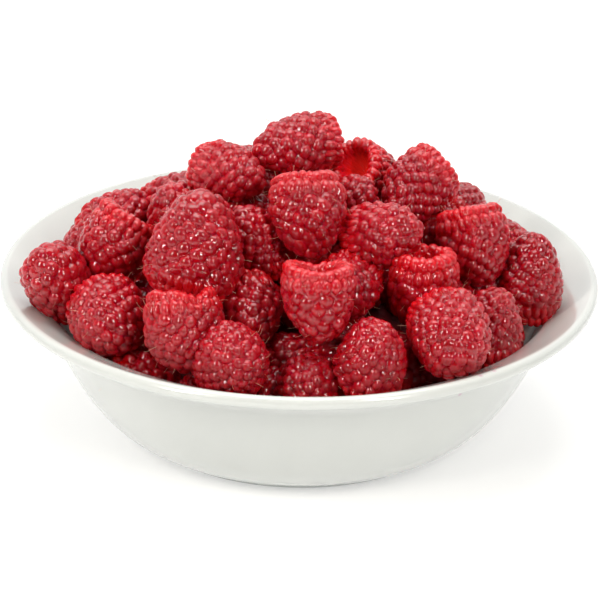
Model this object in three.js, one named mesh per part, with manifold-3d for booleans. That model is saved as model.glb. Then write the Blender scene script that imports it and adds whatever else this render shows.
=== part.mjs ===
// A white porcelain bowl with a flared rim, heaped with raspberries.
// Millimetres, +Z up. The origin is on the table, under the middle of the bowl's foot.
// The bowl is one turned solid. The heap is the other: a mound that fills the bowl,
// with the raspberries that show fused on at their true size and with few sides.

import * as THREE from "three";
import { mergeVertices } from "three/addons/utils/BufferGeometryUtils.js";
import Module from "manifold-3d";

// The bowl
const BOWL_RADIUS = 80;
const BOWL_HEIGHT = 43;
const WALL = 3.3;
const FOOT_RADIUS = 45;
const FOOT_WIDTH = 4.5;
const FOOT_RECESS = 2;
const FOOT_CHAMFER = 0.8;
const WALL_START = 1.6;
const BELLY_RADIUS = 57.6;
const BELLY_HEIGHT = 3.6;
const SHOULDER_RADIUS = 69;
const SHOULDER_HEIGHT = 34.7;
const FLANGE_SLOPE = THREE.MathUtils.degToRad(27);
const LIP_BEAD = WALL / 2;
const TURNS = 60;
const WALL_STEPS = 7;
const BEAD_STEPS = 5;

// The heap
const HEAP_GAP = 0.3;
const HEADROOM = 100;
const MOUND_TURNS = 24;
const MOUND_TOP = 69;
const MOUND_EDGE_RADIUS = 66;
const MOUND_EDGE_HEIGHT = 31;
const MOUND_ROUNDING = 1.15;
const MOUND_FORWARD = 6;
const MOUND_STEPS = 4;
const BERRY_SIDES = 12;
const BERRY_BUMP = 0.045;
const CUP_RADIUS = 0.52;
const CUP_DEPTH = 0.45;

// The raspberries whose outline or colour shows from the front, each with the place of its
// middle, the way its tip points, its length and its width. An open one shows its hollow.
const CLOSED = false;
const OPEN = true;
const SEEN_BERRIES = [
  [[-64, -24, 49], [-1, -2, 3], 22, 18.5, CLOSED],
  [[-49, -38, 45], [1, -4, 0], 22.5, 21, CLOSED],
  [[-28, -52, 49], [0, -2, -3], 21.5, 21, OPEN],
  [[-17, -58, 43], [0, -2, 2], 20.5, 20.5, CLOSED],
  [[3, -55, 35], [0, -2, 3], 20, 17.5, CLOSED],
  [[-2, -40, 36], [-2, -1, 3], 19, 17, CLOSED],
  [[18, -57, 44], [0, -1, 4], 20.5, 19, CLOSED],
  [[37, -52, 49], [2, -5, -1], 23, 22, CLOSED],
  [[49, -36, 44], [0, 0, 1], 20.5, 18, CLOSED],
  [[60, -14, 49], [0, 0, 1], 24, 18, CLOSED],
  [[46, -16, 57], [1, -3, -5], 21.5, 20.5, OPEN],
  [[44, 8, 57], [2, 5, 1], 19, 16.5, OPEN],
  [[29, -4, 69], [-1, -1, 0], 21, 19.5, CLOSED],
  [[21, -28, 65], [3, -2, 2], 20, 17.5, CLOSED],
  [[2, -26, 69], [0, -2, -3], 23, 20, OPEN],
  [[5, -52, 56], [0, -1, -4], 20.5, 19, OPEN],
  [[13, -37, 54], [-1, -3, -1], 20, 18.5, CLOSED],
  [[31, -33, 53], [0, -1, -4], 21, 19.5, OPEN],
  [[-11, -37, 48], [1, -4, -2], 19, 17, CLOSED],
  [[-26, -34, 65], [1, 1, 7], 28, 25.5, CLOSED],
  [[-12, -23, 60], [-2, -1, 4], 21.5, 17, CLOSED],
  [[-20, -8, 73], [3, -2, 0], 22, 16.5, CLOSED],
  [[-1, 2, 78], [-2, -1, 0], 25.5, 17, CLOSED],
  [[15, 12, 68], [1, 2, -3], 18, 16.5, OPEN],
  [[14, -7, 65], [1, -1, 3], 19, 16, CLOSED],
  [[-48, -16, 57], [-3, -4, -2], 21.5, 19.5, OPEN],
  [[-53, 8, 51], [-2, 1, 3], 22, 20, CLOSED],
  [[-33, -8, 59], [-1, -1, 5], 20, 17, CLOSED],
  [[-39, -36, 27], [4, -5, -1], 19, 17, CLOSED],
  [[-54, -12, 43], [1, -3, 2], 19, 17, CLOSED],
  [[35, -4, 55], [1, -2, 3], 19, 17, CLOSED],
  [[12, -32, 36], [1, -2, 3], 19, 17, CLOSED],
  [[32, -36, 31], [1, -2, 3], 19, 17, CLOSED],
  [[-13, -8, 60], [2, -1, 0], 19, 17, CLOSED],
  [[2, -2, 65], [1, 2, 0], 19, 17, CLOSED],
];

// The back of the heap follows a rule: places on a spiral, from the rim inwards, each kept
// where the slope of the heap leaves room for it.
const BACK_TRIES = 600;
const BACK_REACH = 62;
const BACK_START = 4;
const BACK_PEAK = 77;
const BACK_SIDE_FALL = 0.5;
const BACK_REAR_FALL = 0.435;
const BACK_ROUNDING = 0.0073;
const REST_SLOPE = 0.9;
const REST_DROP = 11;
const BERRY_SPACING = 16.2;
const SPIRAL_TURN = Math.PI * (3 - Math.sqrt(5));

const wasm = await Module();
wasm.setup();

// Outside line of the wall, from the foot up to the shoulder where the flange begins.
const wallLine = new THREE.QuadraticBezierCurve(
  new THREE.Vector2(FOOT_RADIUS, WALL_START),
  new THREE.Vector2(BELLY_RADIUS, BELLY_HEIGHT),
  new THREE.Vector2(SHOULDER_RADIUS, SHOULDER_HEIGHT),
);
const beadCentre = new THREE.Vector2(BOWL_RADIUS - LIP_BEAD, BOWL_HEIGHT - LIP_BEAD);

function besideWall(share, distance) {
  const along = wallLine.getTangent(share);
  const inward = new THREE.Vector2(-along.y, along.x);
  return wallLine.getPoint(share).addScaledVector(inward, distance);
}

function roundBead(angle, radius) {
  return new THREE.Vector2(Math.cos(angle), Math.sin(angle))
    .multiplyScalar(radius)
    .add(beadCentre);
}

// Points on the bowl's inside, at a distance from its outside line, from the rim down.
function insideLine(distance) {
  const points = [roundBead(FLANGE_SLOPE + Math.PI / 2, distance - LIP_BEAD)];
  const flangeInward = new THREE.Vector2(-Math.sin(FLANGE_SLOPE), Math.cos(FLANGE_SLOPE));
  points.push(
    new THREE.Vector2(SHOULDER_RADIUS, SHOULDER_HEIGHT).addScaledVector(flangeInward, distance),
  );
  for (let step = WALL_STEPS; step >= 0; step -= 1) {
    points.push(besideWall(step / WALL_STEPS, distance));
  }
  points.push(new THREE.Vector2(0, points.at(-1).y));
  return points;
}

function bowlLine() {
  const footInside = FOOT_RADIUS - FOOT_WIDTH;
  const points = [
    new THREE.Vector2(0, FOOT_RECESS),
    new THREE.Vector2(footInside - FOOT_CHAMFER, FOOT_RECESS),
    new THREE.Vector2(footInside, 0),
    new THREE.Vector2(FOOT_RADIUS - FOOT_CHAMFER, 0),
    new THREE.Vector2(FOOT_RADIUS, FOOT_CHAMFER),
  ];
  for (let step = 0; step <= WALL_STEPS; step += 1) {
    points.push(besideWall(step / WALL_STEPS, 0));
  }
  for (let step = 0; step < BEAD_STEPS; step += 1) {
    const angle = FLANGE_SLOPE - Math.PI / 2 + (Math.PI * step) / BEAD_STEPS;
    points.push(roundBead(angle, LIP_BEAD));
  }
  return points.concat(insideLine(WALL));
}

// Turns a line of radius and height points into a closed mesh with its axis along +Z.
function turned(points, sides) {
  const geometry = new THREE.LatheGeometry(points, sides);
  geometry.rotateX(Math.PI / 2);
  geometry.deleteAttribute("normal");
  geometry.deleteAttribute("uv");
  return geometry;
}

function solidFrom(geometry) {
  const merged = mergeVertices(geometry);
  return new wasm.Manifold(
    new wasm.Mesh({
      numProp: 3,
      vertProperties: new Float32Array(merged.getAttribute("position").array),
      triVerts: new Uint32Array(merged.getIndex().array),
    }),
  );
}

function geometryFrom(solid) {
  const mesh = solid.getMesh();
  const geometry = new THREE.BufferGeometry();
  geometry.setAttribute("position", new THREE.BufferAttribute(mesh.vertProperties, 3));
  geometry.setIndex(new THREE.BufferAttribute(mesh.triVerts, 1));
  geometry.computeVertexNormals();
  return geometry;
}

// Line of one raspberry from its open end to its tip, as shares of its half width and length.
function berryLine(length, width, open) {
  const side = [[0.66, -0.5], [0.96, -0.36], [1, -0.06], [0.84, 0.24], [0.48, 0.43], [0, 0.5]];
  const cup = [[0, CUP_DEPTH - 0.5], [CUP_RADIUS * 0.7, CUP_DEPTH - 0.5], [CUP_RADIUS, -0.45]];
  const start = open ? cup : [[0, -0.5]];
  return start.concat(side).map(([out, up]) => new THREE.Vector2((out * width) / 2, up * length));
}

// Every other corner of a berry stands out, so that its outline is as lumpy as its drupelets.
function berryGeometry(length, width, open) {
  const line = berryLine(length, width, open);
  const geometry = turned(line, BERRY_SIDES);
  const position = geometry.getAttribute("position");
  for (let index = 0; index < position.count; index += 1) {
    const side = Math.floor(index / line.length) % BERRY_SIDES;
    const ring = index % line.length;
    const out = (side + ring) % 2 === 0 ? 1 + BERRY_BUMP : 1 - BERRY_BUMP;
    position.setXY(index, position.getX(index) * out, position.getY(index) * out);
  }
  return geometry;
}

function berrySolid([place, tip, length, width, open]) {
  const geometry = berryGeometry(length, width, open);
  const way = new THREE.Vector3(...tip).normalize();
  const turn = new THREE.Quaternion().setFromUnitVectors(new THREE.Vector3(0, 0, 1), way);
  geometry.applyQuaternion(turn);
  geometry.translate(...place);
  return solidFrom(geometry);
}

function fraction(value) {
  return value - Math.floor(value);
}

function backBerries() {
  const places = SEEN_BERRIES.map(([place]) => new THREE.Vector3(...place));
  const berries = [];
  for (let index = 0; index < BACK_TRIES; index += 1) {
    const reach = BACK_REACH * Math.sqrt(1 - (index + 0.5) / BACK_TRIES);
    const x = reach * Math.cos(index * SPIRAL_TURN);
    const y = reach * Math.sin(index * SPIRAL_TURN);
    const slope = BACK_PEAK - BACK_SIDE_FALL * Math.abs(x) - BACK_REAR_FALL * y;
    const z = Math.min(slope, BACK_PEAK - BACK_ROUNDING * reach * reach);
    const place = new THREE.Vector3(x, y, z);
    const rests = y >= BACK_START && z >= REST_SLOPE * reach - REST_DROP;
    if (rests && places.every((other) => other.distanceTo(place) >= BERRY_SPACING)) {
      const bearing = 2 * Math.PI * fraction(index * 0.7549);
      const tip = [Math.cos(bearing), Math.sin(bearing), 1.5 * fraction(index * 0.5698)];
      const length = 19 + 3 * fraction(index * 0.31);
      const width = 17 + 2 * fraction(index * 0.57);
      berries.push([place.toArray(), tip, length, width, CLOSED]);
      places.push(place);
    }
  }
  return berries;
}

// The mound under the berries: straight sides, which the bowl then cuts, and a blunt peak that
// lies a little towards the front.
function moundSolid() {
  const points = [new THREE.Vector2(0, 0), new THREE.Vector2(MOUND_EDGE_RADIUS, 0)];
  for (let step = 0; step <= MOUND_STEPS; step += 1) {
    const out = 1 - step / MOUND_STEPS;
    const rise = (MOUND_TOP - MOUND_EDGE_HEIGHT) * (1 - out ** MOUND_ROUNDING);
    points.push(new THREE.Vector2(MOUND_EDGE_RADIUS * out, MOUND_EDGE_HEIGHT + rise));
  }
  const geometry = turned(points, MOUND_TURNS);
  const position = geometry.getAttribute("position");
  for (let index = 0; index < position.count; index += 1) {
    const above = Math.max(0, position.getZ(index) - MOUND_EDGE_HEIGHT);
    const shift = (MOUND_FORWARD * above) / (MOUND_TOP - MOUND_EDGE_HEIGHT);
    position.setY(index, position.getY(index) - shift);
  }
  return solidFrom(geometry);
}

// The room inside the bowl, a small gap off its glaze, and open above it.
function roomSolid() {
  const line = insideLine(WALL + HEAP_GAP).reverse();
  const rim = line.at(-1);
  line.push(new THREE.Vector2(rim.x, HEADROOM), new THREE.Vector2(0, HEADROOM));
  return solidFrom(turned(line, TURNS));
}

// The largest body of the joined heap: a sealed hollow inside it is filled, a scrap dropped.
function heapSolid() {
  const joined = [...SEEN_BERRIES, ...backBerries()]
    .map(berrySolid)
    .reduce((heap, berry) => heap.add(berry), moundSolid());
  const bodies = joined.intersect(roomSolid()).decompose();
  return bodies.reduce((largest, body) => (body.volume() > largest.volume() ? body : largest));
}

const glaze = new THREE.MeshStandardMaterial({ color: 0xf2f2ef, roughness: 0.12, metalness: 0 });
const berryRed = new THREE.MeshStandardMaterial({ color: 0xa81226, roughness: 0.4, metalness: 0 });

const bowl = new THREE.Mesh(turned(bowlLine(), TURNS), glaze);
bowl.name = "bowl";

const raspberries = new THREE.Mesh(geometryFrom(heapSolid()), berryRed);
raspberries.name = "raspberries";

const group = new THREE.Group();
group.add(bowl, raspberries);

export default group;
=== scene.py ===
import math

import bmesh
import bpy
from mathutils import Matrix, Vector


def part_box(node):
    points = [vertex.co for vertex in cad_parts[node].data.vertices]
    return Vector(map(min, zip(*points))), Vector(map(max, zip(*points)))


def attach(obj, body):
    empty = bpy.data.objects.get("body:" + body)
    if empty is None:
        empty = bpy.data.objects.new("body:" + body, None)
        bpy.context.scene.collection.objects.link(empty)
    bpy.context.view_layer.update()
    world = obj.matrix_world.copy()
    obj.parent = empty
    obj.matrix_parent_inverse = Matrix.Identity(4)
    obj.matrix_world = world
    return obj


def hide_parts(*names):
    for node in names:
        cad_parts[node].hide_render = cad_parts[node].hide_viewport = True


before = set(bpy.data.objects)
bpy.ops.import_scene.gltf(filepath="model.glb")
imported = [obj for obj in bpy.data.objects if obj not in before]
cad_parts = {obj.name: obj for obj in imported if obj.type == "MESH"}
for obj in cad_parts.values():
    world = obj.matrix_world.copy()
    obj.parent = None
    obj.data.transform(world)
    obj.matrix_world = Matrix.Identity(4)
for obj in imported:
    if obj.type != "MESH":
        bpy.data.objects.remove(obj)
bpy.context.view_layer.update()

# The bowl: one piece of porcelain, turned on a wheel and dipped in a clear glossy white glaze.
# Its wall swells from a low foot ring and flares at the shoulder into a wide sloping flange,
# which ends in a rounded lip.
MM = 0.001
BOWL_RADIUS = 80 * MM
BOWL_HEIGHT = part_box("bowl")[1][2]
WALL = 3.3 * MM
FOOT_RADIUS = 45 * MM
FOOT_WIDTH = 4.5 * MM
FOOT_RECESS = 2 * MM
FOOT_ROUNDING = 0.8 * MM
FOOT_ROUNDNESS = 0.4
WALL_START = Vector((FOOT_RADIUS, 1.6 * MM))
BELLY = Vector((57.6 * MM, 3.6 * MM))
SHOULDER = Vector((69 * MM, 34.7 * MM))
FLANGE_SLOPE = math.radians(27)
BEAD = WALL / 2
BEAD_CENTRE = Vector((BOWL_RADIUS - BEAD, BOWL_HEIGHT - BEAD))
INSIDE_TOP = 0.96
BEND_LENGTH = 0.6
ARC_STEPS = 6
WALL_STEPS = 24
LIP_STEPS = 12
BEND_STEPS = 8
INSIDE_STEPS = 20
FLOOR_STEPS = 5
BOWL_TURNS = 192


def wall_point(share, distance):
    """A point beside the wall's outside curve, on its inner side, as radius and height."""
    place = WALL_START * (1 - share) ** 2 + BELLY * 2 * share * (1 - share) + SHOULDER * share**2
    along = ((BELLY - WALL_START) * (1 - share) + (SHOULDER - BELLY) * share).normalized()
    return place + Vector((-along.y, along.x)) * distance


def bead_point(angle, radius):
    """A point round the lip's centre, as radius and height."""
    return BEAD_CENTRE + Vector((math.cos(angle), math.sin(angle))) * radius


def bowl_line():
    """The bowl's section from the middle of its underside, over the lip, to its inside floor."""
    foot_inside = FOOT_RADIUS - FOOT_WIDTH
    foot_half = FOOT_WIDTH / 2
    line = [Vector((0, FOOT_RECESS)), Vector((foot_inside - 2 * FOOT_ROUNDING, FOOT_RECESS))]
    for step in range(ARC_STEPS + 1):
        turn = math.pi * step / ARC_STEPS
        line.append(Vector((foot_inside + foot_half - math.cos(turn) * foot_half,
                            FOOT_ROUNDING * (1 - math.sin(turn) ** FOOT_ROUNDNESS))))
    line += [wall_point(step / WALL_STEPS, 0) for step in range(WALL_STEPS + 1)]
    line += [bead_point(FLANGE_SLOPE + math.pi * (step / LIP_STEPS - 0.5), BEAD)
             for step in range(LIP_STEPS + 1)]
    inward = Vector((-math.sin(FLANGE_SLOPE), math.cos(FLANGE_SLOPE)))
    flange_start = SHOULDER + inward * WALL
    line += [line[-1].lerp(flange_start, step / ARC_STEPS) for step in range(1, ARC_STEPS)]
    bend_end = wall_point(INSIDE_TOP, WALL)
    bend_start = flange_start.lerp(line[-1], BEND_LENGTH)
    for step in range(1, BEND_STEPS):
        share = step / BEND_STEPS
        above = bend_start.lerp(flange_start, share)
        below = flange_start.lerp(bend_end, share)
        line.append(above.lerp(below, share))
    line += [wall_point(INSIDE_TOP * (1 - step / INSIDE_STEPS), WALL) for step in range(INSIDE_STEPS)]
    floor_edge = line[-1]
    line += [Vector((floor_edge.x * (1 - step / FLOOR_STEPS), floor_edge.y))
             for step in range(1, FLOOR_STEPS + 1)]
    return line


def spun(name, line, turns):
    """A closed mesh turned about the upright axis from radius and height points."""
    body = bmesh.new()
    corners = [body.verts.new((point.x, 0, point.y)) for point in line]
    edges = [body.edges.new(pair) for pair in zip(corners, corners[1:])]
    bmesh.ops.spin(
        body, geom=corners + edges, cent=(0, 0, 0), axis=(0, 0, 1), angle=2 * math.pi, steps=turns,
        use_merge=True,
    )
    bmesh.ops.remove_doubles(body, verts=body.verts, dist=0.001 * MM)
    bmesh.ops.recalc_face_normals(body, faces=body.faces)
    mesh = bpy.data.meshes.new(name)
    body.to_mesh(mesh)
    body.free()
    mesh.shade_smooth()
    piece = bpy.data.objects.new(name, mesh)
    bpy.context.scene.collection.objects.link(piece)
    return piece


def add_node(tree, kind, inputs=None, **settings):
    """A node with its settings made and its inputs set or linked."""
    made = tree.nodes.new(kind)
    for name, value in settings.items():
        setattr(made, name, value)
    for key, value in (inputs or {}).items():
        if isinstance(value, bpy.types.NodeSocket):
            tree.links.new(value, made.inputs[key])
        else:
            made.inputs[key].default_value = value
    return made


def new_material(name):
    """An empty material, with its tree, its surface shader and its object coordinates."""
    material = bpy.data.materials.new(name)
    material.use_nodes = True
    tree = material.node_tree
    shader = tree.nodes["Principled BSDF"]
    place = add_node(tree, "ShaderNodeTexCoord").outputs["Object"]
    return material, tree, shader, place


GLAZE_DARK = (0.515, 0.535, 0.515, 1)
GLAZE_LIGHT = (0.54, 0.56, 0.54, 1)
JUICE = (0.42, 0.12, 0.26, 1)
# The place and the radius of each juice mark, in millimetres. One is a drip on the wall.
JUICE_MARKS = (((41, -55, 33), 0.9), ((45, -64.3, 43), 0.8), ((48.5, -61.5, 43), 0.8))


def glaze():
    """White glaze: faintly uneven in tone and surface, with a few small marks of juice."""
    material, tree, shader, place = new_material("white glaze")
    cloud = add_node(tree, "ShaderNodeTexNoise", {"Vector": place, "Scale": 35.0, "Detail": 2.0})
    tone = add_node(tree, "ShaderNodeMapRange", {"Value": cloud.outputs["Fac"], "From Min": 0.3,
                                                 "From Max": 0.7, "To Min": 0.0, "To Max": 1.0})
    body = add_node(tree, "ShaderNodeMix", {"Factor": tone.outputs["Result"]}, data_type="RGBA")
    body.inputs["A"].default_value = GLAZE_DARK
    body.inputs["B"].default_value = GLAZE_LIGHT
    colour = body.outputs["Result"]
    for spot, radius in JUICE_MARKS:
        gap = add_node(tree, "ShaderNodeVectorMath", {0: place, 1: tuple(Vector(spot) * MM)},
                       operation="DISTANCE")
        near = add_node(tree, "ShaderNodeMapRange", {"Value": gap.outputs["Value"],
                                                     "From Min": 0.3 * radius * MM,
                                                     "From Max": radius * MM,
                                                     "To Min": 0.45, "To Max": 0.0})
        mark = add_node(tree, "ShaderNodeMix", {"Factor": near.outputs["Result"]}, data_type="RGBA")
        tree.links.new(colour, mark.inputs["A"])
        mark.inputs["B"].default_value = JUICE
        colour = mark.outputs["Result"]
    tree.links.new(colour, shader.inputs["Base Color"])
    ripple = add_node(tree, "ShaderNodeTexNoise", {"Vector": place, "Scale": 60.0, "Detail": 1.0})
    bump = add_node(tree, "ShaderNodeBump", {"Height": ripple.outputs["Fac"], "Strength": 0.12,
                                             "Distance": 0.4 * MM})
    tree.links.new(bump.outputs["Normal"], shader.inputs["Normal"])
    shader.inputs["Roughness"].default_value = 0.22
    shader.inputs["Coat Weight"].default_value = 0.6
    shader.inputs["Coat Roughness"].default_value = 0.05
    return material


bowl = spun("porcelain_bowl", bowl_line(), BOWL_TURNS)
bowl.data.materials.append(glaze())
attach(bowl, "root")
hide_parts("bowl")

# The raspberries: whole fresh fruit, each a hollow thimble of downy drupelets that grew on a
# white core, which stays on the plant when the fruit is picked. The drupelets fuse as they grow,
# the last row curls round the lip of the hollow, and dry styles stand out of some of them.

# Each row gives the place of a berry's middle, the way its tip points, its length and width, how
# blunt it is, how far apart its drupelets are, how deep the two notches of its lip are, and how
# much darker than the others it is, lighter where below nought. Places and lengths are in
# millimetres. The front berries lie lowest in the view.
FRONT_BERRIES = [
    ((-63.5, -24, 49), (-1, -2, 3), 21.5, 18, 2.2, 3.4, 0.4, 0),
    ((-48, -38, 44), (1, -4, 0), 22, 20.5, 2.6, 3.4, 0.5, 0),
    ((-27.8, -52, 47.1), (0.45, -1.6, -3), 19, 21.5, 1.9, 3.0, 1.8, 0.1),
    ((-16.5, -58, 43), (0, -2, 2), 20, 20, 2.3, 2.8, 0.3, 0),
    ((3, -55, 35), (0, -2, 3), 20, 17.5, 2.2, 3.0, 0.3, 0.35),
    ((-2, -40, 34), (-2, -1, 3), 19, 17, 2.2, 3.2, 0.3, 0),
    ((18, -57, 44), (0, -1, 4), 20, 18.5, 2.5, 2.9, 0.3, 0),
    ((38.5, -52, 47.5), (2, -5, -1), 22, 21, 2.2, 3.2, 0.5, 0),
    ((49, -36, 44.2), (0, 0, 1), 21, 17.5, 2.2, 2.9, 0.3, 0.2),
    ((60.7, -14, 48), (0, 0, 1), 23.5, 18.6, 2.0, 3.1, 0.3, 0.45),
    ((-54, -12, 43), (1, -3, 2), 19, 17, 2.2, 3.2, 0.3, 0),
]
# The berries of the heap's front slope.
MIDDLE_BERRIES = [
    ((45.5, -16, 56.5), (1, -2.5, -5), 21, 20, 1.9, 3.3, 0.3, -0.05),
    ((2, -26, 68.5), (0.4, -1.8, -3), 21.5, 20, 1.8, 3.3, 0.6, 0.05),
    ((5, -52, 56), (0, -1, -4), 20, 19, 1.8, 3.3, 0.5, -0.05),
    ((31.5, -33, 52.3), (0, -0.4, -4), 20, 18.5, 2.3, 3.4, 0.3, -0.15),
    ((-26, -34, 65), (1, 1, 7), 27, 25.5, 1.5, 3.5, 0.3, 0.1),
    ((-49, -16, 54.7), (-2.5, -1.8, -4), 20, 19, 2.3, 3.4, 0.5, 0),
    ((22, -28, 65), (3, -1.6, 1), 20.5, 18, 2.0, 3.1, 0.3, 0),
    ((12, -37, 53), (-1, -3, -1), 18.5, 17, 2.2, 3.0, 0.3, 0.2),
    ((-12, -39, 47), (1, -4, -2), 19, 18, 2.2, 3.5, 0.3, 0.3),
    ((-12, -23, 61), (-2, -1, 4), 21, 16.5, 2.0, 2.8, 0.3, 0),
]
# The berries along the top, and those that look out past it at both sides.
TOP_BERRIES = [
    ((-18.2, -8, 72.5), (3, -2, 0), 21, 15.5, 2.0, 2.95, 0.3, 0),
    ((-2.2, 2, 77), (-2, -1, 0), 24.5, 16.5, 2.0, 3.0, 0.3, 0),
    ((30, -4, 67), (-1.8, -1.5, -1.2), 20.5, 18.5, 2.2, 2.9, 0.1, 0.15),
    ((17.3, 12, 65.2), (1.4, 2.2, -2.6), 17, 18, 2.2, 3.0, 0.3, -0.3),
    ((13.3, -7, 64.5), (1, -1, 3), 18.5, 15.5, 2.2, 2.7, 0.3, 0.2),
    ((42.5, 8, 56.5), (2, 5, 1), 19, 16.5, 2.2, 3.0, 0.3, 0.25),
    ((-48.5, 8, 52.8), (2, 0, 1.5), 20, 17, 2.2, 3.1, 0.3, 0),
    ((-56, 4, 45), (-1, -2, 2), 20, 18, 2.2, 3.1, 0.3, 0.1),
    ((-32, -8, 60), (-1, -1, 5), 20, 17, 2.2, 2.9, 0.3, 0),
]
# The berries that show between the others, in shade; their darker colour is painted shade.
DEEP_BERRIES = [
    ((-38, -42, 29), (4, -2, -1), 19, 16, 2.2, 3.2, 0.3, 0.3),
    ((-24, -46, 25), (1, -2, 3), 19, 17, 2.2, 3.2, 0.3, 0.4),
    ((-7, -49, 28), (1, -2, 3), 19, 17, 2.2, 3.2, 0.3, 0.4),
    ((24, -43, 36), (-1, -2, 3), 19, 17, 2.2, 3.2, 0.3, 0.4),
    ((9, -45, 38), (-1, -2, 3), 18, 16, 2.2, 3.2, 0.3, 0.3),
    ((35, -4, 55), (1, -2, 3), 19, 17, 2.2, 3.2, 0.3, 0.4),
    ((12, -32, 36), (1, -2, 3), 19, 17, 2.2, 3.2, 0.3, 0.4),
    ((32, -36, 31), (1, -2, 3), 19, 17, 2.2, 3.2, 0.3, 0.4),
    ((51.5, -24, 36), (1, -1, -2), 18, 16, 2.2, 3.2, 0.3, 0.3),
    ((41, -22, 42), (-1, -2, 2), 18, 16.5, 2.2, 3.2, 0.3, 0.4),
    ((-13, -8, 60), (2, -1, 0), 19, 17, 2.2, 3.2, 0.3, 0.3),
    ((2, -2, 65), (1, 2, 0), 19, 17, 2.2, 3.2, 0.3, 0.3),
]
DOME = 1.8 * MM
SKIN = 1.05 * MM
HOLLOW_SHARE = 0.66
HOLLOW_DEPTH = 0.5
LIP_NARROWING = 0.1
HOLLOW_TAPER = 0.15
WIDEST_SHARE = 0.95
BLUNT_RISE = 0.12
TIP_NARROWING = 0.1
TIP_FLATNESS = 0.9
TIP_STEPS = 14
SIDE_STEPS = 5
CURL_STEPS = 6
HOLLOW_STEPS = 6
END_STEPS = 4
BARE_POINTS = 2


def berry_line(length, width, bluntness):
    """The flesh under the drupelets as radius and height points: from the tip, down the side,
    round the lip and up to the hollow's end. Also how many of the points the drupelets cover."""
    half = width / 2 - SKIN
    tip = length / 2 - SKIN
    rim = -tip
    widest = tip - (WIDEST_SHARE - BLUNT_RISE * bluntness) * (tip - rim)
    line = []
    for step in range(TIP_STEPS + 1):
        turn = math.pi / 2 * step / TIP_STEPS
        line.append(Vector((half * math.sin(turn) ** (2 / bluntness + TIP_NARROWING),
                            widest + (tip - widest) * math.cos(turn) ** TIP_FLATNESS)))
    lip = half * (1 - HOLLOW_SHARE) / 2
    lip_centre = Vector((half * (1 - LIP_NARROWING) - lip, rim + lip))
    for step in range(1, SIDE_STEPS):
        share = step / SIDE_STEPS
        line.append(Vector((half * (1 - LIP_NARROWING * share**2),
                            widest + (lip_centre.y - widest) * share)))
    for step in range(CURL_STEPS + 1):
        turn = math.pi * step / CURL_STEPS
        line.append(lip_centre + Vector((math.cos(turn), -math.sin(turn))) * lip)
    covered = len(line) - BARE_POINTS
    hollow = line[-1]
    hollow_end = rim + HOLLOW_DEPTH * (tip - rim) - hollow.x
    for step in range(1, HOLLOW_STEPS + 1):
        share = step / HOLLOW_STEPS
        line.append(Vector((hollow.x * (1 - HOLLOW_TAPER * share),
                            hollow.y + (hollow_end - hollow.y) * share)))
    shoulder = line[-1]
    for step in range(1, END_STEPS + 1):
        turn = math.pi / 2 * step / END_STEPS
        line.append(Vector((shoulder.x * math.cos(turn), shoulder.y + hollow.x * math.sin(turn))))
    return line, covered


# How the drupelets are laid out. Rows and spacings are shares of the pitch.
GOLDEN_ANGLE = math.pi * (3 - math.sqrt(5))
ROW_HEIGHT = 0.9
SPIRAL_END_ROWS = 2.4
LIP_RING_ROWS = (1.75, 0.45)
LIP_SPACING = 0.7
LIP_STRETCH = 1.3
SEAT_ROOM = 0.87
SPIRAL_PIECES = 200
LEAST_RADIUS = 0.3 * MM


def drupelet_spots(line, pitch, start):
    """Where the drupelets sit: on a spiral from the tip that gives each the same room, and at
    the lip in two close rings. Each has its place, its outward and downward way, and how far it
    is drawn out along the berry."""
    steps = list(zip(line, line[1:]))
    runs = [(end - begin).length for begin, end in steps]
    total = sum(runs)
    row = ROW_HEIGHT * pitch

    def along(distance):
        """The point at this distance along the line, and the line's way there."""
        walked = 0
        for (begin, end), run in zip(steps, runs):
            if walked + run >= distance:
                break
            walked += run
        return begin.lerp(end, (distance - walked) / run), (end - begin).normalized()

    def spot(distance, turn, stretch):
        here, way = along(distance)
        cosine = math.cos(turn)
        sine = math.sin(turn)
        return ((here.x * cosine, here.x * sine, here.y),
                (-way.y * cosine, -way.y * sine, way.x),
                (way.x * cosine, way.x * sine, way.y), stretch)

    spiral_end = total - SPIRAL_END_ROWS * row
    middles = [spiral_end * (index + 0.5) / SPIRAL_PIECES for index in range(SPIRAL_PIECES)]
    areas = []
    area = 0
    for middle in middles:
        area += max(along(middle)[0].x, LEAST_RADIUS) * spiral_end / SPIRAL_PIECES
        areas.append(area)
    count = round(math.tau * area / (SEAT_ROOM * pitch**2))
    spots = []
    index = 0
    for number in range(count):
        wanted = area * (number + 0.5) / count
        while areas[index] < wanted:
            index += 1
        spots.append(spot(middles[index], start + number * GOLDEN_ANGLE, 1.0))
    lip_radius = line[TIP_STEPS + SIDE_STEPS - 1].x
    around = round(math.tau * lip_radius / (LIP_SPACING * pitch))
    for ring, rows in enumerate(LIP_RING_ROWS):
        for number in range(around):
            turn = start + math.tau * (number + 0.5 * ring) / around
            spots.append(spot(total - rows * row, turn, LIP_STRETCH))
    return spots


# The lowest part of each drupelet, in the grooves, is darker than its sides: painted shade.
GROOVE_SHADE_RED = (0.33, 0.001, 0.008, 1)
SIDE_RED = (0.375, 0.003, 0.01, 1)
CREST_RED = (0.315, 0.008, 0.014, 1)
# The bright red that the hollow and the lip are mixed toward: partly the flesh's own, partly painted light.
LINING_AND_GLOW_RED = (0.8, 0.008, 0.01, 1)
# The hollow's glow: painted light, in place of light that passes through the flesh.
PAINTED_GLOW_COLOUR = (1.0, 0.03, 0.02, 1)
PAINTED_GLOW_STRENGTH = 0.22
BLOTCHES = 0.35
SIDE_HEIGHT = 0.4


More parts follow.
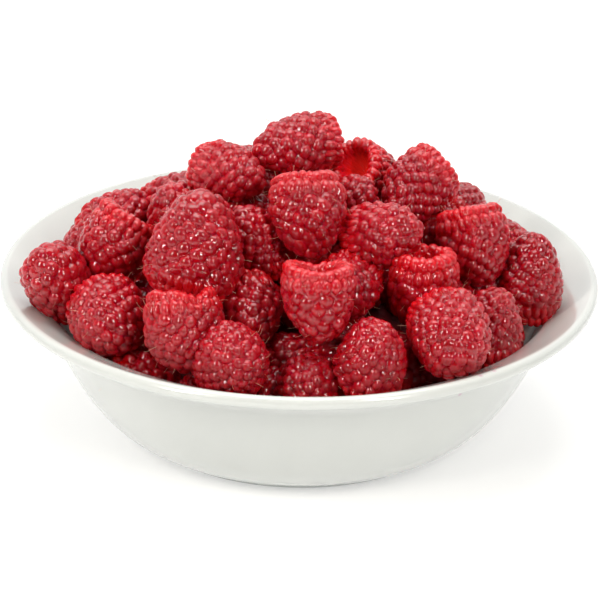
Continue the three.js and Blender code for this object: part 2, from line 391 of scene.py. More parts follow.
def flesh():
    """Ripe raspberry skin: moist, clear deep red, rosier on the crests, with painted shade in the
    grooves; a brighter red in the hollow and at the lip, partly the flesh's own and partly painted
    light; and a painted glow in the hollow."""
    material, tree, shader, place = new_material("raspberry flesh")
    crest = add_node(tree, "ShaderNodeAttribute", attribute_name="crest").outputs["Fac"]
    tone = add_node(tree, "ShaderNodeAttribute", attribute_name="tone").outputs["Fac"]
    hollow = add_node(tree, "ShaderNodeAttribute", attribute_name="hollow").outputs["Fac"]
    lip = add_node(tree, "ShaderNodeAttribute", attribute_name="lip").outputs["Fac"]
    blotch = add_node(tree, "ShaderNodeTexNoise", {"Vector": place, "Scale": 520.0, "Detail": 3.0})
    height = add_node(tree, "ShaderNodeMath", {0: blotch.outputs["Fac"], 1: BLOTCHES, 2: crest},
                      operation="MULTIPLY_ADD")
    lift = add_node(tree, "ShaderNodeMapRange", {"Value": height.outputs["Value"], "From Min": 0.7,
                                                 "From Max": 1.2, "To Min": 0.0, "To Max": 1.0})
    # Low on each drupelet the ramp gives the groove red: painted shade in the grooves.
    ramp = add_node(tree, "ShaderNodeValToRGB", {"Fac": lift.outputs["Result"]})
    ramp.color_ramp.elements[0].color = GROOVE_SHADE_RED
    ramp.color_ramp.elements[1].color = CREST_RED
    middle = ramp.color_ramp.elements.new(SIDE_HEIGHT)
    middle.color = SIDE_RED
    shade = add_node(tree, "ShaderNodeMapRange", {"Value": tone, "To Min": 0.8, "To Max": 1.06},
                     clamp=False)
    toned = add_node(tree, "ShaderNodeVectorMath", {0: ramp.outputs["Color"],
                                                    1: shade.outputs["Result"]}, operation="MULTIPLY")
    # The hollow and the lip are mixed toward the bright red: partly the flesh's own paler inside, partly
    # painted light in place of light through the thin flesh.
    pale = add_node(tree, "ShaderNodeMath", {0: hollow, 1: lip}, operation="MAXIMUM")
    lining_and_glow = add_node(tree, "ShaderNodeMix", {"Factor": pale.outputs["Value"]}, data_type="RGBA")
    tree.links.new(toned.outputs["Vector"], lining_and_glow.inputs["A"])
    lining_and_glow.inputs["B"].default_value = LINING_AND_GLOW_RED
    tree.links.new(lining_and_glow.outputs["Result"], shader.inputs["Base Color"])
    # The hollow glows: painted light, in place of light that passes through the flesh.
    painted_glow = add_node(tree, "ShaderNodeMath", {0: hollow, 1: PAINTED_GLOW_STRENGTH}, operation="MULTIPLY")
    tree.links.new(painted_glow.outputs["Value"], shader.inputs["Emission Strength"])
    shader.inputs["Emission Color"].default_value = PAINTED_GLOW_COLOUR
    down = add_node(tree, "ShaderNodeTexNoise", {"Vector": place, "Scale": 2600.0, "Detail": 2.0})
    gloss = add_node(tree, "ShaderNodeMapRange", {"Value": height.outputs["Value"], "From Min": 0.9,
                                                  "From Max": 1.4, "To Min": 0.22, "To Max": 0.34})
    tree.links.new(gloss.outputs["Result"], shader.inputs["Roughness"])
    bump = add_node(tree, "ShaderNodeBump", {"Height": down.outputs["Fac"], "Strength": 0.03,
                                             "Distance": 0.12 * MM})
    tree.links.new(bump.outputs["Normal"], shader.inputs["Normal"])
    shader.inputs["Subsurface Weight"].default_value = 1.0
    shader.inputs["Subsurface Radius"].default_value = (1.0, 0.15, 0.12)
    shader.inputs["Subsurface Scale"].default_value = 0.6 * MM
    shader.inputs["Specular IOR Level"].default_value = 0.0
    shader.inputs["Coat Weight"].default_value = 1.0
    shader.inputs["Coat Roughness"].default_value = 0.14
    shader.inputs["Coat IOR"].default_value = 1.53
    shader.inputs["Sheen Weight"].default_value = 0.12
    shader.inputs["Sheen Roughness"].default_value = 0.1
    shader.inputs["Sheen Tint"].default_value = (1.0, 0.8, 0.8, 1)
    return material


def straw():
    """The dry styles: pale straw with darker, browner stretches."""
    material, tree, shader, place = new_material("dry style")
    streak = add_node(tree, "ShaderNodeTexNoise", {"Vector": place, "Scale": 900.0})
    ramp = add_node(tree, "ShaderNodeValToRGB", {"Fac": streak.outputs["Fac"]})
    ramp.color_ramp.elements[0].color = (0.36, 0.13, 0.07, 1)
    ramp.color_ramp.elements[1].color = (0.7, 0.4, 0.28, 1)
    tree.links.new(ramp.outputs["Color"], shader.inputs["Base Color"])
    shader.inputs["Roughness"].default_value = 0.5
    return material


def reckon(tree, operation, first, second=0.0, third=0.0):
    """The result of one sum in a tree."""
    made = add_node(tree, "ShaderNodeMath", {0: first, 1: second, 2: third}, operation=operation)
    return made.outputs["Value"]


def chance(tree, low, high, seed, offset):
    """A random number for each element, from the berry's own seed."""
    own_seed = reckon(tree, "ADD", seed, float(offset))
    made = add_node(tree, "FunctionNodeRandomValue", {2: low, 3: high, "Seed": own_seed})
    return made.outputs[1]


BLUNT = 2.35
RINGS_PER_SIDE = 0.6


def drupelet_dome(tree, sides):
    """One drupelet: a closed round body, blunter than a ball, with its height stored as crest."""
    rings = reckon(tree, "ROUND", reckon(tree, "MULTIPLY", sides, RINGS_PER_SIDE))
    ball = add_node(tree, "GeometryNodeMeshUVSphere",
                    {"Segments": sides, "Rings": rings, "Radius": 1.0})
    place = add_node(tree, "GeometryNodeInputPosition").outputs["Position"]
    part = add_node(tree, "ShaderNodeSeparateXYZ", {0: place})
    flat = reckon(tree, "ADD", reckon(tree, "POWER", part.outputs["X"], 2.0),
                  reckon(tree, "POWER", part.outputs["Y"], 2.0))
    out = reckon(tree, "POWER", flat, BLUNT / 2)
    up = reckon(tree, "POWER", reckon(tree, "ABSOLUTE", part.outputs["Z"]), BLUNT)
    swell = reckon(tree, "POWER", reckon(tree, "ADD", out, up), -1 / BLUNT)
    blunt = add_node(tree, "ShaderNodeVectorMath", {0: place, "Scale": swell}, operation="SCALE")
    shaped = add_node(tree, "GeometryNodeSetPosition", {"Geometry": ball.outputs["Mesh"],
                                                        "Position": blunt.outputs["Vector"]})
    stored = add_node(tree, "GeometryNodeStoreNamedAttribute",
                      {"Geometry": shaped.outputs["Geometry"], "Name": "crest",
                       "Value": part.outputs["Z"]}, data_type="FLOAT", domain="POINT")
    return stored.outputs["Geometry"]


LINE_CUTS = 26
WALL_CUTS = 37
RIBS = 12.0
RIB_DEPTH = 0.55 * MM
RIBS_START = 0.05
FULL_RIB_RADIUS = 10 / 3 * MM
WALL_CREST = 0.5


def thimble_wall(tree, line, covered):
    """The flesh that the drupelets grow on: the line turned round the berry's own axis, with
    fine ribs up the hollow. It stores how far inside the hollow each point lies."""
    place = add_node(tree, "GeometryNodeInputPosition").outputs["Position"]
    grid = add_node(tree, "GeometryNodeMeshGrid", {"Size X": 1.0, "Size Y": 1.0,
                                                   "Vertices X": LINE_CUTS, "Vertices Y": WALL_CUTS})
    flat = add_node(tree, "ShaderNodeSeparateXYZ", {0: place})
    factor = reckon(tree, "ADD", flat.outputs["X"], 0.5)
    angle = reckon(tree, "MULTIPLY", reckon(tree, "ADD", flat.outputs["Y"], 0.5), math.tau)
    on_line = add_node(tree, "GeometryNodeSampleCurve", {"Curves": line, "Factor": factor},
                       mode="FACTOR", data_type="FLOAT_VECTOR")
    where = add_node(tree, "ShaderNodeSeparateXYZ", {0: on_line.outputs["Position"]})
    inside = add_node(tree, "ShaderNodeMapRange", {"Value": factor, "From Min": covered,
                                                   "From Max": 0.95}).outputs["Result"]
    wave = reckon(tree, "COSINE", reckon(tree, "MULTIPLY", angle, RIBS))
    rib = reckon(tree, "MULTIPLY", reckon(tree, "MULTIPLY", wave, RIB_DEPTH),
                 reckon(tree, "GREATER_THAN", inside, RIBS_START))
    narrowing = reckon(tree, "MINIMUM", reckon(tree, "DIVIDE", where.outputs["X"], FULL_RIB_RADIUS), 1.0)
    radius = reckon(tree, "ADD", where.outputs["X"], reckon(tree, "MULTIPLY", rib, narrowing))
    round_place = add_node(tree, "ShaderNodeCombineXYZ",
                           {"X": reckon(tree, "MULTIPLY", radius, reckon(tree, "COSINE", angle)),
                            "Y": reckon(tree, "MULTIPLY", radius, reckon(tree, "SINE", angle)),
                            "Z": where.outputs["Z"]}).outputs["Vector"]
    wall = grid.outputs["Mesh"]
    for name, value in (("crest", WALL_CREST), ("hollow", inside)):
        wall = add_node(tree, "GeometryNodeStoreNamedAttribute",
                        {"Geometry": wall, "Name": name, "Value": value},
                        data_type="FLOAT", domain="POINT").outputs["Geometry"]
    turned = add_node(tree, "GeometryNodeSetPosition", {"Geometry": wall, "Position": round_place})
    closed = add_node(tree, "GeometryNodeMergeByDistance", {"Geometry": turned.outputs["Geometry"],
                                                            "Distance": 0.01 * MM})
    return closed.outputs["Geometry"]


STYLE_TAPER = -0.7
STYLE_RADIUS = 0.035 * MM


def style_strand(tree):
    """One dry style: a thin tapered strand, three sides round, that bends over."""
    curve = add_node(tree, "GeometryNodeCurveQuadraticBezier",
                     {"Resolution": 4, "Start": (0, 0, 0), "Middle": (0.1 * MM, 0, 1.0 * MM),
                      "End": (0.8 * MM, 0, 1.9 * MM)})
    along = add_node(tree, "GeometryNodeSplineParameter").outputs["Factor"]
    thickness = reckon(tree, "MULTIPLY_ADD", along, STYLE_TAPER, 1.0)
    taper = add_node(tree, "GeometryNodeSetCurveRadius", {"Curve": curve.outputs["Curve"],
                                                          "Radius": thickness})
    ring = add_node(tree, "GeometryNodeCurvePrimitiveCircle", {"Resolution": 3,
                                                               "Radius": STYLE_RADIUS})
    strand = add_node(tree, "GeometryNodeCurveToMesh", {"Curve": taper.outputs["Curve"],
                                                        "Profile Curve": ring.outputs["Curve"],
                                                        "Fill Caps": True})
    return strand.outputs["Mesh"]


# How one drupelet differs from the next: its slip, as a share of the pitch, its lean in radians,
# how wide and how proud it is, and how much the lip's are narrowed and drawn out. Then how much a
# berry's darkening darkens its drupelets, how far painted glow lightens the lip, how the lip is
# waved, and how fine the berry's own lumps are.
SLIP = 0.07
LEAN = 0.1
SWELL = (0.56, 0.64)
PROUD = (0.92, 1.1)
NARROWED = 1.2
DRAWN_OUT = 0.3
DARKENING_SLOPE = -1.4
LIP_REACH = (0.5 * MM, 6.0 * MM)
# How far the lip is mixed toward the bright red: painted glow.
LIP_PAINTED_GLOW = 0.3
NOTCH_TURN = math.radians(10)
LOBE_ROUNDNESS = 0.6
LUMP_SCALE = 75.0
# Where a style grows, as a share of the skin's depth, and how its tilt and size vary.
STYLE_ROOT = 0.9
STYLE_TILT = 0.5
STYLE_SIZES = (0.6, 1.2)


def raspberry_tree(skin, hair):
    """Grows one raspberry from its line and its drupelets' spots: domes fused with a ribbed
    hollow thimble, or only the styles that stand on them."""
    tree = bpy.data.node_groups.new("raspberry", "GeometryNodeTree")
    sockets = {}
    for name, kind in (("Line and Spots", "Geometry"), ("Covered", "Float"), ("Pitch", "Float"),
                       ("Sides", "Int"), ("Seed", "Int"), ("Lumps", "Float"), ("Notch", "Float"),
                       ("Darkening", "Float"), ("Styles", "Float"), ("Styles Only", "Bool")):
        sockets[name] = tree.interface.new_socket(name, in_out="INPUT",
                                                  socket_type="NodeSocket" + kind)
    tree.interface.new_socket("Raspberry", in_out="OUTPUT", socket_type="NodeSocketGeometry")
    given = tree.nodes.new("NodeGroupInput").outputs
    seed = given["Seed"]
    pitch = given["Pitch"]
    source = given["Line and Spots"]

    def stored(name, kind):
        """A value that the source mesh carries on each of its points."""
        made = add_node(tree, "GeometryNodeInputNamedAttribute", {"Name": name}, data_type=kind)
        return made.outputs["Attribute"]

    line = add_node(tree, "GeometryNodeMeshToCurve", {"Mesh": source}).outputs["Curve"]
    spots = add_node(tree, "GeometryNodeMeshToPoints",
                     {"Mesh": source, "Selection": stored("spot", "BOOLEAN")})
    outward = stored("outward", "FLOAT_VECTOR")
    downward = stored("downward", "FLOAT_VECTOR")
    slip = add_node(tree, "ShaderNodeCombineXYZ", {axis: chance(tree, -SLIP, SLIP, seed, offset)
                                                   for offset, axis in enumerate("XYZ")})
    slipped = add_node(tree, "ShaderNodeVectorMath", {0: slip.outputs["Vector"], "Scale": pitch},
                       operation="SCALE")

    def shifted(points, offset):
        """The points, each moved by its offset."""
        made = add_node(tree, "GeometryNodeSetPosition", {"Geometry": points, "Offset": offset})
        return made.outputs["Geometry"]

    loose = shifted(spots.outputs["Points"], slipped.outputs["Vector"])
    sunk = add_node(tree, "ShaderNodeVectorMath", {0: outward, "Scale": SKIN - DOME}, operation="SCALE")
    seats = shifted(loose, sunk.outputs["Vector"])
    facing = add_node(tree, "FunctionNodeAxesToRotation", {"Primary Axis": outward,
                                                           "Secondary Axis": downward},
                      primary_axis="Z", secondary_axis="Y").outputs["Rotation"]
    lean = add_node(tree, "ShaderNodeCombineXYZ", {"X": chance(tree, -LEAN, LEAN, seed, 3),
                                                   "Y": chance(tree, -LEAN, LEAN, seed, 4)})
    leaned = add_node(tree, "FunctionNodeRotateRotation",
                      {"Rotation": facing, "Rotate By": lean.outputs["Vector"]}, rotation_space="LOCAL")
    swell = reckon(tree, "MULTIPLY", chance(tree, *SWELL, seed, 5), pitch)
    stretch = stored("stretch", "FLOAT")
    proud = add_node(tree, "ShaderNodeCombineXYZ",
                     {"X": reckon(tree, "DIVIDE", swell, reckon(tree, "POWER", stretch, NARROWED)),
                      "Y": reckon(tree, "MULTIPLY", swell, reckon(tree, "POWER", stretch, DRAWN_OUT)),
                      "Z": reckon(tree, "MULTIPLY", chance(tree, *PROUD, seed, 6), DOME)}).outputs["Vector"]
    domes = add_node(tree, "GeometryNodeInstanceOnPoints",
                     {"Points": seats, "Instance": drupelet_dome(tree, given["Sides"]),
                      "Rotation": leaned.outputs["Rotation"], "Scale": proud}).outputs["Instances"]
    fused = add_node(tree, "GeometryNodeMeshBoolean", operation="UNION", solver="MANIFOLD")
    for part in (thimble_wall(tree, line, given["Covered"]), domes):
        tree.links.new(part, fused.inputs["Mesh 2"])
    nearest = add_node(tree, "GeometryNodeSampleNearest", {"Geometry": seats}, domain="POINT")
    # Each drupelet's tone is random, less the berry's darkening; for the deep and buried berries that
    # darkening is painted shade.
    tone = add_node(tree, "GeometryNodeSampleIndex",
                    {"Geometry": seats, "Value": reckon(tree, "MULTIPLY_ADD", given["Darkening"],
                                                        DARKENING_SLOPE, chance(tree, 0.0, 1.0, seed, 7)),
                     "Index": nearest.outputs["Index"]}, data_type="FLOAT", domain="POINT")
    toned = add_node(tree, "GeometryNodeStoreNamedAttribute",
                     {"Geometry": fused.outputs["Mesh"], "Name": "tone", "Value": tone.outputs["Value"]},
                     data_type="FLOAT", domain="POINT").outputs["Geometry"]
    place = add_node(tree, "GeometryNodeInputPosition").outputs["Position"]
    where = add_node(tree, "ShaderNodeSeparateXYZ", {0: place})
    ends = add_node(tree, "GeometryNodeBoundBox", {"Geometry": source})
    lowest = add_node(tree, "ShaderNodeSeparateXYZ", {0: ends.outputs["Min"]})
    near_lip = add_node(tree, "ShaderNodeMapRange",
                        {"Value": reckon(tree, "SUBTRACT", where.outputs["Z"], lowest.outputs["Z"]),
                         "From Min": LIP_REACH[0], "From Max": LIP_REACH[1],
                         "To Min": 1.0, "To Max": 0.0}).outputs["Result"]
    # Near the lip the flesh is lightened: painted glow, in place of light through the thin lip.
    lip_glow = reckon(tree, "MULTIPLY", near_lip, LIP_PAINTED_GLOW)
    lipped = add_node(tree, "GeometryNodeStoreNamedAttribute",
                      {"Geometry": toned, "Name": "lip", "Value": lip_glow},
                      data_type="FLOAT", domain="POINT").outputs["Geometry"]

    foot = add_node(tree, "ShaderNodeVectorMath", {0: outward, "Scale": STYLE_ROOT * SKIN},
                    operation="SCALE")
    raised = shifted(loose, foot.outputs["Vector"])
    sweep = add_node(tree, "ShaderNodeCombineXYZ", {"X": chance(tree, -STYLE_TILT, STYLE_TILT, seed, 8),
                                                    "Z": chance(tree, 0.0, math.tau, seed, 9)})
    swept = add_node(tree, "FunctionNodeRotateRotation",
                     {"Rotation": facing, "Rotate By": sweep.outputs["Vector"]}, rotation_space="LOCAL")
    grows = reckon(tree, "LESS_THAN", chance(tree, 0.0, 1.0, seed, 10), given["Styles"])
    strands = add_node(tree, "GeometryNodeInstanceOnPoints",
                       {"Points": raised, "Selection": grows, "Instance": style_strand(tree),
                        "Rotation": swept.outputs["Rotation"],
                        "Scale": chance(tree, *STYLE_SIZES, seed, 11)})
    beard = add_node(tree, "GeometryNodeRealizeInstances",
                     {"Geometry": strands.outputs["Instances"]}).outputs["Geometry"]
    chosen = add_node(tree, "GeometryNodeSwitch", {"Switch": given["Styles Only"], "False": lipped,
                                                   "True": beard}, input_type="GEOMETRY").outputs["Output"]
    finish = add_node(tree, "GeometryNodeSwitch", {"Switch": given["Styles Only"], "False": skin,
                                                   "True": hair}, input_type="MATERIAL").outputs["Output"]
    noise = add_node(tree, "ShaderNodeTexNoise",
                     {"Vector": place, "W": seed, "Scale": LUMP_SCALE, "Detail": 0.0},
                     noise_dimensions="4D")
    centred = add_node(tree, "ShaderNodeVectorMath", {0: noise.outputs["Color"], 1: (0.5, 0.5, 0.5)},
                       operation="SUBTRACT")
    lumps = add_node(tree, "ShaderNodeVectorMath", {0: centred.outputs["Vector"], "Scale": given["Lumps"]},
                     operation="SCALE")
    bearing = reckon(tree, "ARCTAN2", where.outputs["Y"], where.outputs["X"])
    across = reckon(tree, "ABSOLUTE", reckon(tree, "COSINE", reckon(tree, "ADD", bearing, NOTCH_TURN)))
    lobe = reckon(tree, "MULTIPLY_ADD", reckon(tree, "POWER", across, LOBE_ROUNDNESS), 2.0, -1.0)
    dip = reckon(tree, "MULTIPLY", reckon(tree, "MULTIPLY", lobe, given["Notch"]),
                 reckon(tree, "MULTIPLY", near_lip, -1.0))
    wave = add_node(tree, "ShaderNodeCombineXYZ", {"Z": dip})
    moved = add_node(tree, "ShaderNodeVectorMath", {0: lumps.outputs["Vector"], 1: wave.outputs["Vector"]},
                     operation="ADD")
    uneven = add_node(tree, "GeometryNodeSetPosition", {"Geometry": chosen,
                                                        "Offset": moved.outputs["Vector"]})
    smooth = add_node(tree, "GeometryNodeSetShadeSmooth", {"Geometry": uneven.outputs["Geometry"]})
    whole = add_node(tree, "GeometryNodeRealizeInstances", {"Geometry": smooth.outputs[0]})
    done = add_node(tree, "GeometryNodeSetMaterial", {"Geometry": whole.outputs["Geometry"],
                                                      "Material": finish})
    add_node(tree, "NodeGroupOutput", {"Raspberry": done.outputs["Geometry"]})
    return tree, {name: socket.identifier for name, socket in sockets.items()}


berry_tree, berry_inputs = raspberry_tree(flesh(), straw())


START_TURN = 2.4
LUMPS = 3.0 * MM
STYLES = 0.16


def grown(berry, seed, sides, styles_only):
    """One raspberry, or its styles, as a plain mesh in its place in the heap."""
    place, tip, length, width, bluntness, pitch, notch, darkening = berry
    line, covered = berry_line(length * MM, width * MM, bluntness)
    spots = drupelet_spots(line[:covered], pitch * MM, seed * START_TURN)
    runs = [(end - begin).length for begin, end in zip(line, line[1:])]
    mesh = bpy.data.meshes.new("berry line")
    corners = [(point.x, 0, point.y) for point in line] + [spot[0] for spot in spots]
    mesh.from_pydata(corners, [(index, index + 1) for index in range(len(line) - 1)], [])
    for name, kind, key, blank, values in (
            ("spot", "BOOLEAN", "value", False, [True] * len(spots)),
            ("outward", "FLOAT_VECTOR", "vector", (0, 0, 1), [spot[1] for spot in spots]),
            ("downward", "FLOAT_VECTOR", "vector", (1, 0, 0), [spot[2] for spot in spots]),
            ("stretch", "FLOAT", "value", 1.0, [spot[3] for spot in spots])):
        layer = mesh.attributes.new(name, kind, "POINT")
        for item, value in zip(layer.data, [blank] * len(line) + values):
            setattr(item, key, value)
    source = bpy.data.objects.new("berry line", mesh)
    bpy.context.scene.collection.objects.link(source)
    modifier = source.modifiers.new("grow", "NODES")
    modifier.node_group = berry_tree
    for name, value in (("Covered", sum(runs[:covered - 1]) / sum(runs)), ("Pitch", pitch * MM),
                        ("Sides", sides), ("Seed", seed), ("Lumps", LUMPS), ("Notch", notch * MM),
                        ("Darkening", darkening), ("Styles", STYLES), ("Styles Only", styles_only)):
        modifier[berry_inputs[name]] = value
    evaluated = source.evaluated_get(bpy.context.evaluated_depsgraph_get())
    result = bpy.data.meshes.new_from_object(evaluated)
    bpy.data.objects.remove(source)
    turn = Vector(tip).to_track_quat("Z", "Y").to_matrix().to_4x4()
    result.transform(Matrix.Translation(Vector(place) * MM) @ turn)
    return result


def joined(name, meshes):
    """One object at the origin that holds all the meshes."""
    objects = [bpy.data.objects.new(name, mesh) for mesh in meshes]
    for item in objects:
        bpy.context.scene.collection.objects.link(item)
    with bpy.context.temp_override(active_object=objects[0], object=objects[0],
                                   selected_objects=objects, selected_editable_objects=objects):
        bpy.ops.object.join()
    return objects[0]


# The heap's height and slopes, and the room that each berry keeps, in millimetres. The steps
# spread the tips, lengths and widths evenly over the berries.
HEAP_TOP = 77
HEAP_SIDE_SLOPE = 0.5
HEAP_BACK_SLOPE = 0.435
HEAP_ROUNDNESS = 0.0073
BACK_REACH = 62
BACK_ROOM = 16.2
BACK_TRIES = 600
BACK_START = 4
BOWL_SLOPE = 0.9
BOWL_DROP = 11
BACK_LENGTH = 19
LENGTH_SPREAD = 3
BACK_WIDTH = 17
WIDTH_SPREAD = 2
BACK_RISE = 1.5
BACK_SHAPE = (2.2, 3.3, 0.4, 0)
TURN_STEP = 0.7549
RISE_STEP = 0.5698
LENGTH_STEP = 0.31
WIDTH_STEP = 0.57


def spiral_turn(index):
    """A tip's bearing, different for each place on a spiral."""
    return math.tau * (index * TURN_STEP % 1)


def back_berries(taken):
    """The hidden back of the heap: places on a spiral, from the rim inwards, each taken where the
    slope of the heap leaves room for a berry and it rests on the heap or on the bowl."""
    places = [Vector(berry[0]) for berry in taken]
    berries = []
    for index in range(BACK_TRIES):
        reach = BACK_REACH * math.sqrt(1 - (index + 0.5) / BACK_TRIES)
        bearing = index * GOLDEN_ANGLE
        x = reach * math.cos(bearing)
        y = reach * math.sin(bearing)
        z = min(HEAP_TOP - HEAP_SIDE_SLOPE * abs(x) - HEAP_BACK_SLOPE * y,
                HEAP_TOP - HEAP_ROUNDNESS * reach * reach)
        place = Vector((x, y, z))
        rests = y >= BACK_START and z >= BOWL_SLOPE * reach - BOWL_DROP
        if rests and all((place - other).length >= BACK_ROOM for other in places):
            turn = spiral_turn(index)
            tip = (math.cos(turn), math.sin(turn), BACK_RISE * (index * RISE_STEP % 1))
            length = BACK_LENGTH + LENGTH_SPREAD * (index * LENGTH_STEP % 1)
            width = BACK_WIDTH + WIDTH_SPREAD * (index * WIDTH_STEP % 1)
            berries.append((tuple(place), tip, length, width, *BACK_SHAPE))
            places.append(place)
    return berries


BURIED_REACH = 56
BURIED_TOP = 58
BURIED_SLOPE = 0.5
BURIED_ROOM = 14
BURIED_TRIES = 400
BURIED_BACK = 30
BURIED_RISE = 0.6
# The last number darkens these berries: painted shade for the layer under the others.
BURIED_SHAPE = (19, 17, 2.2, 3.6, 0.3, 0.3)


def buried_berries(taken):
    """The layer under the berries that show: places on a spiral, from the middle outwards, each
    taken where there is a gap."""
    places = [Vector(berry[0]) for berry in taken]
    berries = []
    for index in range(BURIED_TRIES):
        reach = BURIED_REACH * math.sqrt((index + 0.5) / BURIED_TRIES)
        bearing = index * GOLDEN_ANGLE
        place = Vector((reach * math.cos(bearing), reach * math.sin(bearing),
                        BURIED_TOP - BURIED_SLOPE * reach))
        if place.y < BURIED_BACK and all((place - other).length >= BURIED_ROOM for other in places):
            turn = spiral_turn(index)
            tip = (math.cos(turn), math.sin(turn), BURIED_RISE)
            berries.append((tuple(place), tip, *BURIED_SHAPE))
            places.append(place)
    return berries


seen = FRONT_BERRIES + MIDDLE_BERRIES + TOP_BERRIES + DEEP_BERRIES
behind = back_berries(seen)
buried = buried_berries(seen + behind)
# Each group's berries, and how many sides their drupelets have.
groups = {"front": (FRONT_BERRIES, 12), "middle": (MIDDLE_BERRIES, 12), "top": (TOP_BERRIES, 12),
          "deep": (DEEP_BERRIES, 10), "back": (behind, 10), "buried": (buried, 7)}
seed = 0
for group, (berries, sides) in groups.items():
    fruit = []
    beards = []
    for berry in berries:
        seed += 1
        fruit.append(grown(berry, seed, sides, False))
        if group != "buried":
            beards.append(grown(berry, seed, sides, True))
    pieces = [joined(group + "_raspberries", fruit)]
    if beards:
        pieces.append(joined(group + "_styles", beards))
    for piece in pieces:
        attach(piece, "root")
        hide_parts("raspberries")


# The rest of the fruit fills the bowl below those and is all but hidden. It is one plain mound,
# beaded, that the berries above lie in; its near-black red is painted shade.
# The mound's reds: painted shade, darkest between the beads.
PAINTED_SHADE_RED = (0.14, 0.002, 0.005, 1)
PAINTED_SHADE_DARK = (0.03, 0.0005, 0.002, 1)


def fruit_in_painted_shade():
    """Fruit between the berries, made near-black red as painted shade and beaded like them, darker still
    between the beads.
    """
    material, tree, shader, place = new_material("fruit under painted shade")
    beads = add_node(tree, "ShaderNodeTexVoronoi", {"Vector": place, "Scale": 330.0})
    ramp = add_node(tree, "ShaderNodeValToRGB", {"Fac": beads.outputs["Distance"]})
    ramp.color_ramp.elements[0].color = PAINTED_SHADE_RED
    ramp.color_ramp.elements[1].color = PAINTED_SHADE_DARK
    tree.links.new(ramp.outputs["Color"], shader.inputs["Base Color"])
    bump = add_node(tree, "ShaderNodeBump", {"Height": beads.outputs["Distance"], "Strength": 1.0,
                                             "Distance": 0.6 * MM}, invert=True)
    tree.links.new(bump.outputs["Normal"], shader.inputs["Normal"])
    shader.inputs["Roughness"].default_value = 0.6
    shader.inputs["Specular IOR Level"].default_value = 0.1
    return material


# The mound's section, as radius and height in millimetres.
MOUND_LINE = ((0, 7), (44, 7), (50, 13), (54, 20), (54, 25), (50, 29), (42, 35), (30, 41), (15, 47),
              (0, 50))
MOUND_TURNS = 48
mound = spun("fruit_core", [Vector(point) * MM for point in MOUND_LINE], MOUND_TURNS)
mound.data.materials.append(fruit_in_painted_shade())
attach(mound, "root")
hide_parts("raspberries")

# The table: a plain pale surface, and a white room round it, brighter overhead and behind
# than on the camera's side. The lights are one broad soft box above and two narrow strips.
FLOOR_HALF = 3.0
FLOOR_GREY = (0.68, 0.68, 0.68, 1)
floor_mesh = bpy.data.meshes.new("floor")
floor_mesh.from_pydata([(-FLOOR_HALF, -FLOOR_HALF, 0), (FLOOR_HALF, -FLOOR_HALF, 0),
                        (FLOOR_HALF, FLOOR_HALF, 0), (-FLOOR_HALF, FLOOR_HALF, 0)], [], [(0, 1, 2, 3)])
floor = bpy.data.objects.new("floor", floor_mesh)
bpy.context.scene.collection.objects.link(floor)
paint, _, paint_shader, _ = new_material("pale floor")
paint_shader.inputs["Base Color"].default_value = FLOOR_GREY
paint_shader.inputs["Roughness"].default_value = 0.8
paint_shader.inputs["Emission Color"].default_value = (1, 1, 1, 1)
paint_shader.inputs["Emission Strength"].default_value = 0.34
paint.cycles.emission_sampling = "NONE"
floor_mesh.materials.append(paint)

CAMERA_SIDE = (0, -0.92, 0.4)
world = bpy.data.worlds.new("white room")
world.use_nodes = True
sky = world.node_tree
direction = add_node(sky, "ShaderNodeTexCoord").outputs["Generated"]
facing = add_node(sky, "ShaderNodeVectorMath", {0: direction, 1: CAMERA_SIDE},
                  operation="DOT_PRODUCT")
around = add_node(sky, "ShaderNodeMapRange", {"Value": facing.outputs["Value"], "From Min": -0.7,
                                              "From Max": 0.6, "To Min": 1.0, "To Max": 0.04})
heights = add_node(sky, "ShaderNodeSeparateXYZ", {0: direction})
above = add_node(sky, "ShaderNodeMapRange", {"Value": heights.outputs["Z"], "From Min": 0.1,
                                             "From Max": 0.9, "To Min": 1.0, "To Max": 1.7})
both = add_node(sky, "ShaderNodeMath", {0: around.outputs["Result"], 1: above.outputs["Result"]},
                operation="MULTIPLY")
sky.links.new(both.outputs["Value"], sky.nodes["Background"].inputs["Strength"])
sky.nodes["Background"].inputs["Color"].default_value = (1, 1, 1, 1)
bpy.context.scene.world = world


HEAP_MIDDLE = Vector((0, 0, 60 * MM))
DAYLIGHT = (1, 0.96, 0.9)


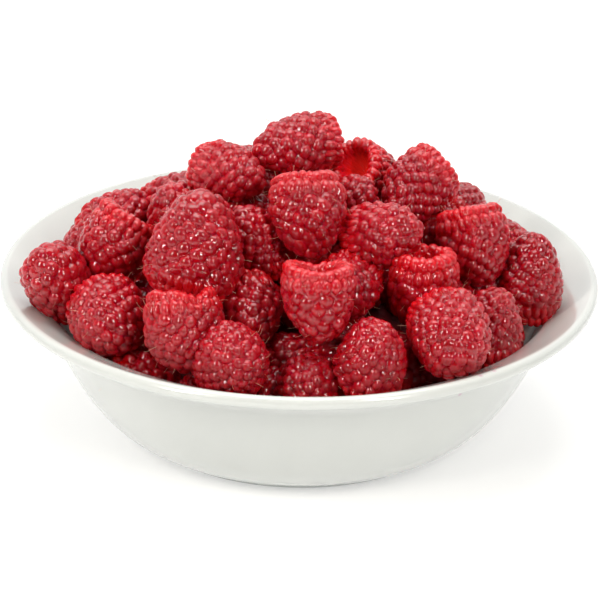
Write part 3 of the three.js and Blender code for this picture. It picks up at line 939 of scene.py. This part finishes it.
def soft_box(name, bearing, elevation, distance, width, height, radiance, colour):
    """A rectangular light that faces the heap. Its bearing is counted from the camera's side."""
    bearing = math.radians(bearing)
    elevation = math.radians(elevation)
    way = Vector((math.sin(bearing) * math.cos(elevation), -math.cos(bearing) * math.cos(elevation),
                  math.sin(elevation)))
    light = bpy.data.lights.new(name, "AREA")
    light.shape = "RECTANGLE"
    light.size = width
    light.size_y = height
    light.energy = radiance * math.pi * width * height
    light.color = colour
    lamp = bpy.data.objects.new(name, light)
    lamp.location = HEAP_MIDDLE + way * distance
    lamp.rotation_euler = (-way).to_track_quat("-Z", "Y").to_euler()
    bpy.context.scene.collection.objects.link(lamp)


soft_box("overhead", bearing=180, elevation=80, distance=0.9, width=0.7, height=0.6, radiance=4.4,
         colour=(1, 0.985, 0.96))
soft_box("left window", bearing=-44, elevation=33, distance=0.8, width=0.08, height=0.42,
         radiance=42.0, colour=DAYLIGHT)
soft_box("right window", bearing=34, elevation=33, distance=0.8, width=0.07, height=0.42,
         radiance=40.0, colour=DAYLIGHT)

# The camera stands where the photograph was taken from: 700 mm from the middle of the rim,
# looking down at 23.5 degrees, and aimed a little below the rim.
ELEVATION = math.radians(23.5)
DISTANCE = 700 * MM
SENSOR_WIDTH = 36
FOCAL_PIXELS = 2607.5
FRAME_PIXELS = 600
RIM_CENTRE_PIXEL = (298.9, 267.8)
ROLL = math.radians(1.08)
rim_centre = Vector((0, 0, BOWL_HEIGHT))
camera_up = Vector((0, math.sin(ELEVATION), math.cos(ELEVATION)))
station = rim_centre + Vector((0, -math.cos(ELEVATION), math.sin(ELEVATION))) * DISTANCE
drop = (FRAME_PIXELS / 2 - RIM_CENTRE_PIXEL[1]) / FOCAL_PIXELS * DISTANCE
aside = (FRAME_PIXELS / 2 - RIM_CENTRE_PIXEL[0]) / FOCAL_PIXELS * DISTANCE
aim = rim_centre - camera_up * drop + Vector((aside, 0, 0))
lens = bpy.data.cameras.new("camera")
lens.sensor_width = SENSOR_WIDTH
lens.lens = SENSOR_WIDTH * FOCAL_PIXELS / FRAME_PIXELS
camera = bpy.data.objects.new("camera", lens)
look = (aim - station).to_track_quat("-Z", "Y").to_matrix().to_4x4()
camera.matrix_world = Matrix.Translation(station) @ look @ Matrix.Rotation(ROLL, 4, "Z")
bpy.context.scene.collection.objects.link(camera)
bpy.context.scene.camera = camera
bpy.context.scene.view_settings.view_transform = "Standard"
